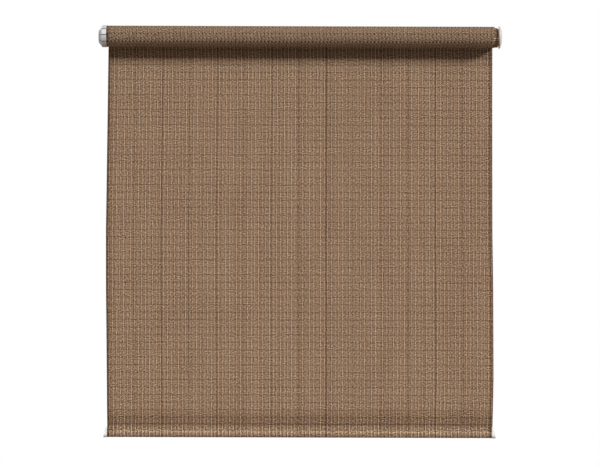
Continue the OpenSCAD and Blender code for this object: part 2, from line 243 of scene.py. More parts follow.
class Nodes:
    """Short calls that add shader nodes to one material and link them."""

    def __init__(self, name):
        self.material = bpy.data.materials.new(name)
        self.material.use_nodes = True
        self.tree = self.material.node_tree
        self.shader = self.tree.nodes["Principled BSDF"]

    def put(self, socket, value):
        """Links a value that comes from a node to a socket, or sets the socket to it."""
        if hasattr(value, "node"):
            self.tree.links.new(value, socket)
        else:
            socket.default_value = value

    def add(self, kind, inputs=(), **settings):
        """A new node with its settings and inputs."""
        node = self.tree.nodes.new(kind)
        for key, value in settings.items():
            setattr(node, key, value)
        for socket, value in inputs:
            self.put(node.inputs[socket], value)
        return node

    def set(self, **values):
        """Sets or links the shader's own sockets."""
        for key, value in values.items():
            self.put(self.shader.inputs[key.replace("_", " ")], value)

    def bump(self, height, distance, strength):
        """Bends the shader's normal to a height."""
        inputs = [("Height", height), ("Distance", distance), ("Strength", strength)]
        self.set(Normal=self.add("ShaderNodeBump", inputs).outputs[0])

    def uneven_gloss(self, roughness, swing, pattern):
        """Sets a roughness that swings with a pattern from 0 to 1."""
        self.set(Roughness=self.math("MULTIPLY_ADD", self.centred(pattern), swing, roughness, clamp=True))

    def math(self, operation, *values, clamp=False):
        """The result of one operation on its values."""
        node = self.add("ShaderNodeMath", operation=operation, use_clamp=clamp)
        for i, value in enumerate(values):
            self.put(node.inputs[i], value)
        return node.outputs[0]

    def total(self, *terms):
        """Sum of (weight, value) terms."""
        result = 0.0
        for weight, value in terms:
            result = self.math("MULTIPLY_ADD", value, weight, result)
        return result

    def weighted(self, weights, parts):
        """Sum of named parts, each times its weight."""
        return self.total(*[(weight, parts[part]) for part, weight in weights.items()])

    def place(self):
        """The point's own X, Y and Z on the piece."""
        coordinate = self.add("ShaderNodeTexCoord")
        return self.add("ShaderNodeSeparateXYZ", [(0, coordinate.outputs["Object"])]).outputs

    def stored(self, name):
        """A place that keep_place stored on the piece."""
        return self.add("ShaderNodeAttribute", attribute_name=name).outputs["Fac"]

    def vector(self, x, y, z=0.0):
        """A vector from its coordinates."""
        return self.add("ShaderNodeCombineXYZ", [(0, x), (1, y), (2, z)]).outputs[0]

    def noise(self, point, scales, detail=2.0):
        """A smooth noise from 0 to 1, with a scale of its own along each axis."""
        stretched = [self.math("MULTIPLY", value, scale) for value, scale in zip(point, scales)]
        inputs = [("Vector", self.vector(*stretched)), ("Scale", 1.0), ("Detail", detail)]
        return self.add("ShaderNodeTexNoise", inputs).outputs["Fac"]

    def chance(self, column, row):
        """A random number from 0 to 1 for each whole-numbered place."""
        inputs = [("Vector", self.vector(column, row))]
        return self.add("ShaderNodeTexWhiteNoise", inputs, noise_dimensions="2D").outputs["Value"]

    def ramp(self, value, stops):
        """A colour from (place, colour) stops."""
        node = self.add("ShaderNodeValToRGB", [(0, value)])
        band = node.color_ramp
        while len(band.elements) < len(stops):
            band.elements.new(1.0)
        for element, (place, colour) in zip(band.elements, stops):
            element.position = place
            element.color = (*colour, 1.0)
        return node.outputs[0]

    def centred(self, value):
        """A value from 0 to 1, moved to lie evenly about 0."""
        return self.math("SUBTRACT", value, 0.5)

    def steps(self, value, first, pitch, clamp=False):
        """How many pitches a value lies past the first place."""
        return self.math("DIVIDE", self.math("SUBTRACT", value, first), pitch, clamp=clamp)

    def hump(self, value, centre, half):
        """A rounded hump from 0 to 1, which ends half a width from its centre."""
        away = self.steps(value, centre, half)
        return self.math("SUBTRACT", 1.0, self.math("MULTIPLY", away, away), clamp=True)

    def line(self, turns, half_share):
        """A soft line at every whole number of turns, and that number."""
        number = self.math("ROUND", turns)
        return self.hump(turns, number, half_share), number

    def wave(self, turns):
        """A wave from -1 to 1 with its crest at every whole number of turns."""
        return self.math("COSINE", self.math("MULTIPLY", turns, FULL_TURN))

    def lobe(self, turns):
        """A hump from 0 to 1 between one whole number of turns and the next."""
        return self.math("MULTIPLY_ADD", self.wave(turns), -0.5, 0.5)

    def every_second(self, number):
        """0 for an even whole number and half for an odd one."""
        return self.math("MULTIPLY", self.math("PINGPONG", number, 1.0), 0.5)

    def radius(self, y, z):
        """Distance from the roller's axis."""
        return self.math("SQRT", self.math("MULTIPLY_ADD", y, y, self.math("MULTIPLY", z, z)))


# The cloth's materials

# Yarns: the columns of yarn to a cord, the rows to a pick, and the repeat that their tones are set in.
# A float is the stretch of yarn that shows at one crossing, and its power flattens its top.
YARN_COLUMNS = 3.0
YARN_ROWS = 3.5
REPEAT_COLUMNS = 3.0
REPEAT_ROWS = 14.0
FLOAT_POWER = 0.35
SPECK_SHARES = (1.0, -0.5, -0.5)
OFF_GRID = 0.5        # a column or row that no crossing has
YARN_STOPS = [
    (0.0, (44, 29, 18)), (0.3, (98, 73, 52)), (0.5, (141, 114, 91)),
    (0.72, (178, 151, 125)), (1.0, (216, 194, 169)),
]

# Lines: how much the yarns' specks break them, and the dark upright lines that come and go
CORD_SPECK = 0.6
PICK_SPECK = 0.8
PICK_LINE_SHARE = 0.09
PICK_DOTS_SHARE = 0.14
DARK_PITCH = 62.2 * MM
DARK_FIRST = 19.6 * MM
DARK_HALF = 1.2 * MM
DARK_STRENGTH = 0.65
DARK_SWING = 0.35
DARK_SWING_FIRST = 7.5
DARK_SWING_LINES = 4.6

# Marks: the edges, painted shade above the seam, a painted highlight along the hem's crest over the rail,
# and painted shade under the roll with painted light on its cords
SELVEDGE = 13 * MM
# Painted shade in a band above the hem's seam, where the hem's turned-in cloth lies behind
TUCK_SHADE_TOP = SEAM_Z + 36 * MM
TUCK_SHADE_TOP_EASE = 20 * MM
TUCK_SHADE_LOW = SEAM_Z + 1 * MM
TUCK_SHADE_LOW_EASE = 5 * MM
# A painted highlight along the hem's crest over the rail
CREST_HIGHLIGHT_Z = RAIL_Z + 6 * MM
CREST_HIGHLIGHT_HALF = 3 * MM
# Painted shade under the roll, where its shadow falls on the cloth, with painted light on the cords there
ROLL_SHADE_LOW = -52 * MM
ROLL_SHADE_EASE = 10 * MM
CLOUD_SCALES = (12.0, 12.0)
CLOUD_DETAIL = 1.0
FIBRE_SCALES = (1500.0, 900.0)

# How much each part of the weave lightens or darkens the yarn's tone, on the cloth's several faces.
# The even part is the tone that the others are added to.
SHARED_TONE = {"gap": -0.16, "cloud": 0.06, "fibre": 0.10}
FRONT_TONE = {
    **SHARED_TONE, "even": 0.535, "cord": 0.15, "ground": 0.085, "dark": -0.32, "pick": -0.13,
    "dot": 0.16, "speck": 0.46, "repeat": 0.20, "upright": 0.05, "crosswise": 0.02,
    "selvedge": -0.17, "tuck_shade": -0.09, "roll_shade": -0.06, "roll_shade_cord_light": 0.22,
}
HEM_TONE = {
    **SHARED_TONE, "even": 0.46, "cord": 0.30, "ground": 0.09, "dark": -0.26, "pick": -0.08,
    "dot": 0.20, "speck": 0.60, "repeat": 0.26, "upright": 0.08, "crosswise": 0.04,
    "selvedge": -0.20, "tuck_shade": -0.06, "crest_highlight": 0.14,
}
REVERSE_TONE = {
    **SHARED_TONE, "even": 0.53, "cord": 0.05, "ground": -0.06, "dark": -0.06, "pick": -0.20,
    "pick_dots": 0.14, "dot": 0.14, "zigzag": 0.08, "speck": 0.40, "repeat": 0.20,
    "upright": 0.04, "crosswise": 0.04, "selvedge": -0.10,
}
WOUND_TONE = {
    **SHARED_TONE, "even": 0.545, "cord": 0.11, "ground": -0.10, "dark": -0.06, "pick": -0.15,
    "pick_dots": 0.24, "dot": 0.16, "zigzag": 0.08, "speck": 0.44, "repeat": 0.40,
    "upright": 0.04, "crosswise": 0.03, "selvedge": -0.06,
}
INNER_TONE = {**WOUND_TONE, "selvedge": -0.25}

# How much each part stands out of the cloth in its bump
CLOTH_RELIEF = {"dot": 0.8, "cord": 0.7, "pick": -0.5, "fibre": 0.3, "gap": -0.4}
CLOTH_BUMP = 0.6 * MM
CLOTH_BUMP_STRENGTH = 0.8


def yarn_parts(n, cords, picks):
    """Tones of the yarns one by one: their crossings, their columns and rows, and the gaps between."""
    u = n.math("MULTIPLY_ADD", cords, YARN_COLUMNS, 0.5)
    column = n.math("FLOOR", u)
    v = n.math("MULTIPLY_ADD", picks, YARN_ROWS, n.every_second(column))
    halves = n.math("MULTIPLY", v, 2.0)
    row = n.math("FLOOR", halves)
    floats = n.math("POWER", n.math("MULTIPLY", n.lobe(u), n.lobe(halves)), FLOAT_POWER)

    # A crossing's own chance less the mean of two neighbours, so that light and dark specks balance
    crossing = n.chance(column, row)
    beside = n.chance(n.math("ADD", column, 1.0), row)
    above = n.chance(column, n.math("ADD", row, 1.0))
    speck = n.total(*zip(SPECK_SHARES, (crossing, beside, above)))
    level_row = n.math("FLOOR", n.math("MULTIPLY", picks, 2 * YARN_ROWS))
    repeat_row = n.math("FLOORED_MODULO", level_row, REPEAT_ROWS)
    chances = []
    for step in range(len(SPECK_SHARES)):
        repeat_column = n.math("FLOORED_MODULO", n.math("ADD", column, step), REPEAT_COLUMNS)
        chances.append(n.chance(repeat_column, repeat_row))
    repeat = n.total(*zip(SPECK_SHARES, chances))

    zigzag = n.lobe(n.math("ADD", n.every_second(level_row), cords))
    return {
        "gap": n.math("SUBTRACT", 1.0, floats),
        "speck": n.math("MULTIPLY", speck, floats),
        "repeat": n.math("MULTIPLY", repeat, floats),
        "upright": n.centred(n.chance(column, OFF_GRID)),
        "crosswise": n.centred(n.chance(OFF_GRID, row)),
        "dot": n.math("MULTIPLY", n.lobe(u), n.lobe(v)),
        "zigzag": n.centred(zigzag),
        "ground": n.wave(n.math("MULTIPLY", cords, 2.0)),
    }


def line_parts(n, flat_x, cords, picks, speck):
    """Light upright cords, broken into dots, and the dark lines upright and crosswise."""
    cord, number = n.line(cords, CORD_HALF_SHARE)
    drift = n.math("MULTIPLY", n.math("SINE", n.math("MULTIPLY", number, CORD_DRIFT_STEP)), CORD_DRIFT)
    swing = n.math("SINE", n.math("MULTIPLY_ADD", number, CORD_SWING_STEP, drift))
    cord = n.math("MULTIPLY", cord, n.math("MULTIPLY_ADD", swing, CORD_SWING, CORD_STRENGTH))
    cord = n.math("MULTIPLY", cord, n.math("MULTIPLY_ADD", speck, CORD_SPECK, 1.0))
    dark, number = n.line(n.steps(flat_x, DARK_FIRST, DARK_PITCH), DARK_HALF / DARK_PITCH)
    swing = n.wave(n.steps(number, DARK_SWING_FIRST, DARK_SWING_LINES))
    pick, _ = n.line(picks, PICK_LINE_SHARE)
    broad_pick, _ = n.line(picks, PICK_DOTS_SHARE)
    return {
        "cord": cord,
        "dark": n.math("MULTIPLY", dark, n.math("MULTIPLY_ADD", swing, DARK_SWING, DARK_STRENGTH)),
        "pick": n.math("MULTIPLY", pick, n.math("MULTIPLY_ADD", speck, PICK_SPECK, 1.0)),
        "pick_dots": n.math("MULTIPLY", broad_pick, n.wave(cords)),
    }


def mark_parts(n, flat_x, length, cord):
    """The cloth's edges, clouds and fibres all over, and painted shade above the seam and under the roll,
    painted light on the cords under the roll and a painted highlight along the hem's crest.
    """
    rest_z = n.stored("rest_z")
    from_left = n.steps(flat_x, CLOTH_X0, SELVEDGE)
    from_right = n.steps(flat_x, CLOTH_X1, -SELVEDGE)
    # Painted shade in a band above the hem's seam
    tuck_shade_top = n.steps(rest_z, TUCK_SHADE_TOP, -TUCK_SHADE_TOP_EASE, clamp=True)
    tuck_shade_low = n.steps(rest_z, TUCK_SHADE_LOW, TUCK_SHADE_LOW_EASE, clamp=True)
    # Painted shade under the roll, and painted light on its cords
    roll_shade = n.steps(rest_z, ROLL_SHADE_LOW, ROLL_SHADE_EASE, clamp=True)
    cloud = n.noise((flat_x, length), CLOUD_SCALES, CLOUD_DETAIL)
    fibre = n.noise((flat_x, length), FIBRE_SCALES)
    return {
        "selvedge": n.math("SUBTRACT", 1.0, n.math("MINIMUM", from_left, from_right), clamp=True),
        "tuck_shade": n.math("MULTIPLY", tuck_shade_top, tuck_shade_low),
        # Painted highlight along the hem's crest
        "crest_highlight": n.hump(rest_z, CREST_HIGHLIGHT_Z, CREST_HIGHLIGHT_HALF),
        "roll_shade": roll_shade,
        "roll_shade_cord_light": n.math("MULTIPLY", roll_shade, cord),
        "cloud": n.centred(cloud),
        "fibre": n.centred(fibre),
    }


def cloth_material(name, weights, shade, wound=False):
    """The woven cloth, drawn yarn by yarn. The length of wound cloth runs round the roller's axis."""
    n = Nodes(name)
    _, y, z = n.place()
    flat_x = n.stored("flat_x")
    cords = n.steps(flat_x, CORD_FIRST, CORD_PITCH)
    if wound:
        turns = n.math("DIVIDE", n.math("ARCTAN2", z, y), FULL_TURN / WOUND_PICKS)
        picks = n.math("SUBTRACT", turns, WOUND_TURN_SHARE)
        length = n.math("MULTIPLY", picks, PICK_PITCH)
    else:
        picks = n.steps(z, PICK_FIRST, PICK_PITCH)
        length = z
    parts = {"even": 1.0, **yarn_parts(n, cords, picks)}
    parts.update(line_parts(n, flat_x, cords, picks, parts["speck"]))
    parts.update(mark_parts(n, flat_x, length, parts["cord"]))
    # The scale darkens or lightens the yarn's colours: on the roll it is painted shade, on its inner turns
    # painted light
    stops = [(place, scaled(srgb(*colour), shade)) for place, colour in YARN_STOPS]
    n.set(Base_Color=n.ramp(n.weighted(weights, parts), stops), Roughness=0.88, Specular_IOR_Level=0.2)
    n.bump(n.weighted(CLOTH_RELIEF, parts), CLOTH_BUMP, CLOTH_BUMP_STRENGTH)
    return n.material


THREAD_TWIST = 0.9 * MM
THREAD_SLANT = 1.5
THREAD_SHADES = [(0.0, 0.6), (1.0, 1.0)]
THREAD_BUMP = 0.1 * MM
THREAD_BUMP_STRENGTH = 0.6


def thread_material(name, colour):
    """Twisted sewing thread."""
    n = Nodes(name)
    x, _, z = n.place()
    along = n.math("MULTIPLY_ADD", z, THREAD_SLANT, x)
    twist = n.math("SINE", n.math("MULTIPLY", along, FULL_TURN / THREAD_TWIST))
    tone = n.math("MULTIPLY_ADD", twist, 0.5, 0.5)
    n.set(Base_Color=n.ramp(tone, shades(colour, THREAD_SHADES)), Roughness=0.8)
    n.bump(twist, THREAD_BUMP, THREAD_BUMP_STRENGTH)
    return n.material


# Materials of the rigid nodes

GRAIN_SCALES = (900.0, 900.0, 900.0)
GRAIN_DETAIL = 3.0

# Moulded plastic
MOULD_MARK_SCALES = (480.0, 60.0, 60.0)
MOULD_MARK_DETAIL = 4.0
MOULD_TONE = {"mark": 0.6, "grain": 0.4}
MOULD_SHADES = [(0.3, 0.86), (0.55, 1.0), (0.75, 1.06)]
MOULD_GLOSS_SWING = 0.25
MOULD_BUMP = 0.05 * MM
MOULD_BUMP_STRENGTH = 0.35

# The drive cap, with painted shade in its grooves and round the edge of its face
CAP_GROOVES = 10
CAP_TURN_SHARE = 15 / 36
CAP_GROOVE_HALF_SHARE = 0.1
CAP_GROOVE_FROM_R = 16 * MM
CAP_RIM_X = 2.5 * MM
CAP_RIM_HALF = 1.6 * MM
CAP_MARK_SCALES = (1200.0, 40.0, 40.0)
CAP_MARK_DETAIL = 3.0
CAP_TONE = {"mark": 0.3, "grain": 0.2, "groove": -0.6, "rim": -0.3, "even": 0.45}
CAP_SHADES = [(0.1, 0.25), (0.62, 1.0), (0.85, 1.1)]
CAP_GLOSS_SWING = 0.2
CAP_RELIEF = {"grain": 0.2, "groove": -1.0}
CAP_BUMP = 0.2 * MM
CAP_BUMP_STRENGTH = 0.6

# Drawn metal
DRAWN_LINE_SCALES = (12.0, 900.0, 900.0)
DRAWN_CLOUD_SCALES = (25.0, 25.0, 25.0)
DRAWN_TONE = {"lines": 0.6, "cloud": 0.4}
DRAWN_SHADES = [(0.3, 0.78), (0.7, 1.0)]
DRAWN_GLOSS_SWING = 0.2
DRAWN_BUMP = 0.03 * MM
DRAWN_BUMP_STRENGTH = 0.4


def moulded_material(name, colour, roughness, metallic=0.0):
    """Moulded plastic: a fine grain, faint handling marks and a slightly uneven gloss."""
    n = Nodes(name)
    point = n.place()
    parts = {
        "mark": n.noise(point, MOULD_MARK_SCALES, MOULD_MARK_DETAIL),
        "grain": n.noise(point, GRAIN_SCALES, GRAIN_DETAIL),
    }
    colours = n.ramp(n.weighted(MOULD_TONE, parts), shades(colour, MOULD_SHADES))
    n.set(Base_Color=colours, Metallic=metallic)
    n.uneven_gloss(roughness, MOULD_GLOSS_SWING, parts["mark"])
    n.bump(parts["grain"], MOULD_BUMP, MOULD_BUMP_STRENGTH)
    return n.material


def cap_material(name, colour, roughness, metallic):
    """The drive cap's silver plastic, with painted shade in its lengthwise grooves and round the edge of
    its face.
    """
    n = Nodes(name)
    point = n.place()
    x, y, z = point
    turn = n.math("DIVIDE", n.math("ARCTAN2", n.math("MULTIPLY", y, -1.0), z), FULL_TURN / CAP_GROOVES)
    # Painted shade along the grooves
    groove, _ = n.line(n.math("SUBTRACT", turn, CAP_TURN_SHARE), CAP_GROOVE_HALF_SHARE)
    on_barrel = n.math("GREATER_THAN", n.radius(y, z), CAP_GROOVE_FROM_R)
    parts = {
        "mark": n.noise(point, CAP_MARK_SCALES, CAP_MARK_DETAIL),
        "grain": n.noise(point, GRAIN_SCALES, GRAIN_DETAIL),
        "groove": n.math("MULTIPLY", groove, on_barrel),
        # Painted shade round the edge of the face
        "rim": n.hump(x, CAP_RIM_X, CAP_RIM_HALF),
        "even": 1.0,
    }
    colours = n.ramp(n.weighted(CAP_TONE, parts), shades(colour, CAP_SHADES))
    n.set(Base_Color=colours, Metallic=metallic)
    n.uneven_gloss(roughness, CAP_GLOSS_SWING, parts["mark"])
    n.bump(n.weighted(CAP_RELIEF, parts), CAP_BUMP, CAP_BUMP_STRENGTH)
    return n.material


def drawn_material(name, colour, roughness):
    """Drawn or extruded metal with fine lines along the roller's axis."""
    n = Nodes(name)
    point = n.place()
    parts = {"lines": n.noise(point, DRAWN_LINE_SCALES), "cloud": n.noise(point, DRAWN_CLOUD_SCALES)}
    colours = n.ramp(n.weighted(DRAWN_TONE, parts), shades(colour, DRAWN_SHADES))
    n.set(Base_Color=colours, Metallic=1.0)
    n.uneven_gloss(roughness, DRAWN_GLOSS_SWING, parts["lines"])
    n.bump(parts["lines"], DRAWN_BUMP, DRAWN_BUMP_STRENGTH)
    return n.material


front_cloth = cloth_material("cloth_front", FRONT_TONE, shade=1.0)
hem_front = cloth_material("cloth_hem", HEM_TONE, shade=1.0)
reverse_cloth = cloth_material("cloth_reverse", REVERSE_TONE, shade=0.72)
# The roll's cloth is drawn at 0.74 of the yarn's colour as painted shade, its inner turns at 1.2 as painted
# light
wound_cloth = cloth_material("cloth_wound", WOUND_TONE, shade=0.74, wound=True)
inner_cloth = cloth_material("cloth_inner_turns", INNER_TONE, shade=1.2, wound=True)
stitch_thread = thread_material("stitch_thread", (116, 92, 69))

NODE_MATERIALS = {
    "cap_silver": cap_material("cap_silver", (187, 187, 187), roughness=0.55, metallic=0.25),
    "flange_grey": moulded_material("flange_grey", (205, 198, 192), roughness=0.45, metallic=0.1),
    "cap_white": moulded_material("cap_white", (222, 220, 217), roughness=0.5),
    "pale_plastic": moulded_material("pale_plastic", (226, 222, 208), roughness=0.5),
    "grey_plastic": moulded_material("grey_plastic", (120, 121, 124), roughness=0.5),
    "dark_plastic": moulded_material("dark_plastic", (42, 42, 45), roughness=0.45),
    "mill_aluminium": drawn_material("mill_aluminium", (214, 215, 218), roughness=0.34),
    "steel": drawn_material("steel", (186, 188, 193), roughness=0.3),
    "spring_steel": drawn_material("spring_steel", (92, 92, 98), roughness=0.35),
    "cloth": front_cloth,
}
for part in frame["record"]["subparts"]:
    node_object = frame["nodes"][part["node"]]
    node_object.data.materials.clear()
    node_object.data.materials.append(NODE_MATERIALS[part["material_slot"]])


# The hanging cloth

# How far its two edges waver sideways, at shares of the height from the seam to the roller's axis
EDGE_SHARES = np.array([0.0, 0.12, 0.35, 0.5, 0.85, 1.0])
LEFT_EDGE = np.array([0.3, -0.9, -3.4, -3.9, -0.4, 0.9]) * MM
RIGHT_EDGE = np.array([1.6, 3.6, 2.1, -0.2, -1.5, -1.5]) * MM

# Its belly, which calms towards the roll and the seam, and the seam's pull on it
BELLY = 0.9 * MM
BELLY_WAVES = 2.2
BELLY_FROM = 0.2
BELLY_EASE = 0.2
BELLY_END_EASE = 0.08
HEM_PULL = 2.4 * MM
HEM_PULL_FROM = 42 * MM
HEM_PULL_ROWS = 9

# Its upper end, which lies round the back of the roll and thins into it
WRAP_DEG = 62
WRAP_STEPS = 9
WRAP_GAP = 0.12 * MM
WRAP_EASE_SHARE = 0.5
WRAP_THIN_FROM = 0.6
WRAP_THINNING = 0.9


def edge_shift(x, z):
    """How far the cloth's wavering edges carry a point sideways."""
    height = np.clip((z - SEAM_Z) / -SEAM_Z, 0, 1)
    left = np.interp(height, EDGE_SHARES, LEFT_EDGE)
    right = np.interp(height, EDGE_SHARES, RIGHT_EDGE)
    share = (x - CLOTH_X0) / CLOTH_W
    return left * (1 - share) ** 2 + right * share ** 2


def hang(x, z):
    """How far back the hanging cloth lies from its plane."""
    down = np.clip(z / SEAM_Z, 0, 1)
    calm = smooth_step((down - BELLY_FROM) / BELLY_EASE) * smooth_step((1 - down) / BELLY_END_EASE)
    belly = ripples(BELLY_WAVES * (x - CLOTH_X0) / CLOTH_W, down, seed=4)
    pull = HEM_PULL * np.clip((SEAM_Z + HEM_PULL_FROM - z) / HEM_PULL_FROM, 0, 1) ** 2
    return BELLY * calm * belly + pull


def panel_levels():
    """Heights of the panel's rows of points: every pick, halfway between, and closer above the seam."""
    count = int((PICK_FIRST - SEAM_Z) / PICK_PITCH)
    crests = PICK_FIRST - PICK_PITCH * np.arange(count + 1)
    pulled = np.linspace(SEAM_Z, SEAM_Z + HEM_PULL_FROM, HEM_PULL_ROWS)[1:-1]
    levels = np.concatenate([crests, crests + PICK_PITCH / 2, pulled, [SEAM_Z, 0.0]])
    levels = np.unique(np.round(levels, 5))
    return levels[levels >= SEAM_Z]


def wrapped_grids(columns):
    """Points of the cloth's two faces where it lies round the back of the roll."""
    turn = np.radians(WRAP_DEG) * np.arange(1, WRAP_STEPS + 1)[:, None] / WRAP_STEPS
    whole = turn[-1]
    thinned = smooth_step((turn - WRAP_THIN_FROM * whole) / ((1 - WRAP_THIN_FROM) * whole))
    rest_in = ROLL_R + PICK_RISE + WRAP_GAP
    rest_out = rest_in + (CLOTH_T + PICK_RISE) * (1 - WRAP_THINNING * thinned)
    ease = smooth_step(turn / (WRAP_EASE_SHARE * whole))
    across = columns[None, :] + edge_shift(columns[None, :], 0 * turn)
    grids = []
    for start, rest in ((PANEL_Y - CLOTH_T / 2, rest_in), (PANEL_Y + CLOTH_T / 2, rest_out)):
        radius = start + (rest - start) * ease + 0 * across
        grids.append(np.stack([across, radius * np.cos(turn), radius * np.sin(turn)], axis=-1))
    return grids


def make_panel():
    """The cloth from the hem's seam up to the roll, and a little way round the roll's back."""
    columns = cloth_columns()
    x, z = np.meshgrid(columns, panel_levels())
    y = PANEL_Y + hang(x, z)
    across = x + edge_shift(x, z)
    front_lift = CLOTH_T / 2 + cord_height(x)
    back_lift = CLOTH_T / 2 + pick_height((z - PICK_FIRST) / PICK_PITCH)
    wrapped_front, wrapped_back = wrapped_grids(columns)
    front = np.concatenate([np.stack([across, y - front_lift, z], axis=-1), wrapped_front])
    back = np.concatenate([np.stack([across, y + back_lift, z], axis=-1), wrapped_back])
    flat_x = np.broadcast_to(columns, front.shape[:2])
    return shell("hanging_cloth", front, back, front_cloth, flat_x, inner_material=reverse_cloth)


def follow_evenly(piece):
    """Bakes the cloth's placement into its points."""
    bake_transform(piece)


# The roll

ROLL_STEPS = 96
ROLL_COLUMNS = 108
LUMP = 0.05 * MM
LUMP_WAVES = 2.5
WAVER = 0.5 * MM
WAVER_POWER = 6

# Its inner turns: thinner and narrower than the cloth, so that no two faces coincide
INNER_T = 0.4 * MM
INNER_TRIM = 0.5 * MM
INNER_W = CLOTH_W - INNER_TRIM
INNER_STEPS = 72
INNER_CLEAR = 0.2 * MM
OUTER_CLEAR = 0.3 * MM
INNER_SHARES = np.array([0.0, 0.06, 0.94, 0.97, 0.985, 1.0])
LOOSE_FROM = 0.94
LOOSE_EASE = 0.045
CREEP_POWER = 1.2
CREEP_WAVER = 0.25 * MM
CREEP_WAVER_RATE = 5.3


def make_outer_turn():
    """The roll's outer turn, which shows the cloth's reverse, with its crosswise cords along the roll."""
    columns = np.linspace(CLOTH_X0, CLOTH_X1, ROLL_COLUMNS)
    x, turns = np.meshgrid(columns, np.arange(ROLL_STEPS) / ROLL_STEPS)
    angle = FULL_TURN * turns
    share = (x - CLOTH_X0) / CLOTH_W
    face_r = ROLL_R + LUMP * ripples(LUMP_WAVES * share, turns, seed=9)
    waver = WAVER * ripples(0 * turns, turns, seed=12)
    across = x + waver * (share ** WAVER_POWER - (1 - share) ** WAVER_POWER)

    def around(radius):
        return np.stack([across, radius * np.cos(angle), radius * np.sin(angle)], axis=-1)

    outer = around(face_r + pick_height(turns * WOUND_PICKS - WOUND_TURN_SHARE))
    return shell("roll_outer_turn", outer, around(face_r - CLOTH_T), wound_cloth, x, ring=True)


def make_inner_turns():
    """The turns under it: one strip wound outward, whose edges have crept along the roll and hang loose."""
    steps = INNER_STEPS * (TURNS - 1)
    share = np.arange(steps + 1)[:, None] / steps
    angle = FULL_TURN * (TURNS - 1) * share
    lowest = TUBE_R + INNER_CLEAR
    highest = ROLL_R - CLOTH_T - OUTER_CLEAR - INNER_T
    radius = lowest + (highest - lowest) * share
    along = INNER_SHARES[None, :]
    crept = CREEP * (1 - share) ** CREEP_POWER + CREEP_WAVER * np.sin(CREEP_WAVER_RATE * angle)
    x = CLOTH_X0 + crept + INNER_W * along
    sag = (highest - radius) * smooth_step((along - LOOSE_FROM) / LOOSE_EASE) / 2

    def wound(rise):
        r = radius + rise + sag
        return np.stack([x, r * np.cos(angle), r * np.sin(angle) - sag], axis=-1)

    flat_x = np.broadcast_to(CLOTH_X0 + CLOTH_W * along, x.shape)
    return shell("roll_inner_turns", wound(INNER_T), wound(0), inner_cloth, flat_x)


# The hem

# Its section: the cloth's grip on the rail, and the leaning stretches from there up to the seam
RAIL_CLEAR = 0.3 * MM
GRIP_DEG = 56
REACH = 4 * MM
FRONT_LEAN = np.array([0.8, -10]) * MM
BACK_TOP_SHIFT = np.array([1.35 * CLOTH_T, 3 * MM])
FRONT_POINTS = 14
RAIL_POINTS = 20
BACK_POINTS = 11

# Its puckers along the seam, and how much further its cords stand out than the panel's
PUCKER = 0.25 * MM
PUCKER_DOWN = 4 * MM
PUCKER_REACH = 3 * MM
HEM_CORD_RISE = 1.5

# Its stitches
STITCH_PITCH = 9.6 * MM
STITCH_L = 6.4 * MM
STITCH_R = 0.42 * MM
STITCH_TIP_SHARE = 0.15
STITCH_DOWN = 1.6 * MM
STITCH_OUT = 0.15 * MM
STITCH_BOW = 0.3 * MM
STITCH_STRAY = 0.25 * MM
STITCH_STRAY_RATE = 1.7
STITCH_MARGIN = 8 * MM
STITCH_SIDES = 6
STITCH_RINGS = 7


def bezier(p0, p1, p2, p3, count):
    """Points of a cubic curve."""
    t = np.linspace(0, 1, count)[:, None]
    return (1 - t) ** 3 * p0 + 3 * t * (1 - t) ** 2 * p1 + 3 * t * t * (1 - t) * p2 + t ** 3 * p3


def hem_path():
    """The hem's section as [y, z] points: down the front, round the rail and up the back."""
    r = RAIL_R + RAIL_CLEAR + CLOTH_T / 2
    grip = math.radians(GRIP_DEG)
    out, up = math.cos(grip), math.sin(grip)
    top = np.array([PANEL_Y + HEM_PULL, SEAM_Z])
    centre = np.array([PANEL_Y, RAIL_Z])
    on_front = centre + r * np.array([-out, up])
    on_back = centre + r * np.array([out, up])
    back_top = top + BACK_TOP_SHIFT
    front = bezier(top, top + FRONT_LEAN, on_front + REACH * np.array([up, out]), on_front, FRONT_POINTS)
    sweep = np.linspace(math.pi - grip, FULL_TURN + grip, RAIL_POINTS)[1:-1, None]
    round_rail = centre + r * np.concatenate([np.cos(sweep), np.sin(sweep)], axis=1)
    leaving = on_back + REACH * np.array([-up, out])
    back = bezier(on_back, leaving, back_top - np.array([0, 2 * REACH]), back_top, BACK_POINTS)
    return np.concatenate([front, round_rail, back])


def make_hem():
    """The hem: the cloth goes down the front, round the rail and up to the seam behind."""
    path = hem_path()
    along = np.gradient(path, axis=0)
    along /= np.linalg.norm(along, axis=1)[:, None]
    out = np.stack([along[:, 1], -along[:, 0]], axis=1)
    columns = cloth_columns()
    x = np.broadcast_to(columns, (len(path), len(columns)))
    pucker = PUCKER * np.sin(FULL_TURN * (x - CLOTH_X0) / STITCH_PITCH)
    pucker = pucker * np.exp(-((path[:, 1:2] - SEAM_Z + PUCKER_DOWN) / PUCKER_REACH) ** 2)
    height = CLOTH_T / 2 + HEM_CORD_RISE * cord_height(x)
    across = x + edge_shift(x, np.full_like(x, SEAM_Z))

    def lifted(lift):
        y = path[:, 0:1] + out[:, 0:1] * lift
        z = path[:, 1:2] + out[:, 1:2] * lift
        return np.stack([across, y, z], axis=-1)

    return shell("hem_cloth", lifted(height + pucker), lifted(-CLOTH_T / 2 + pucker), hem_front, x)


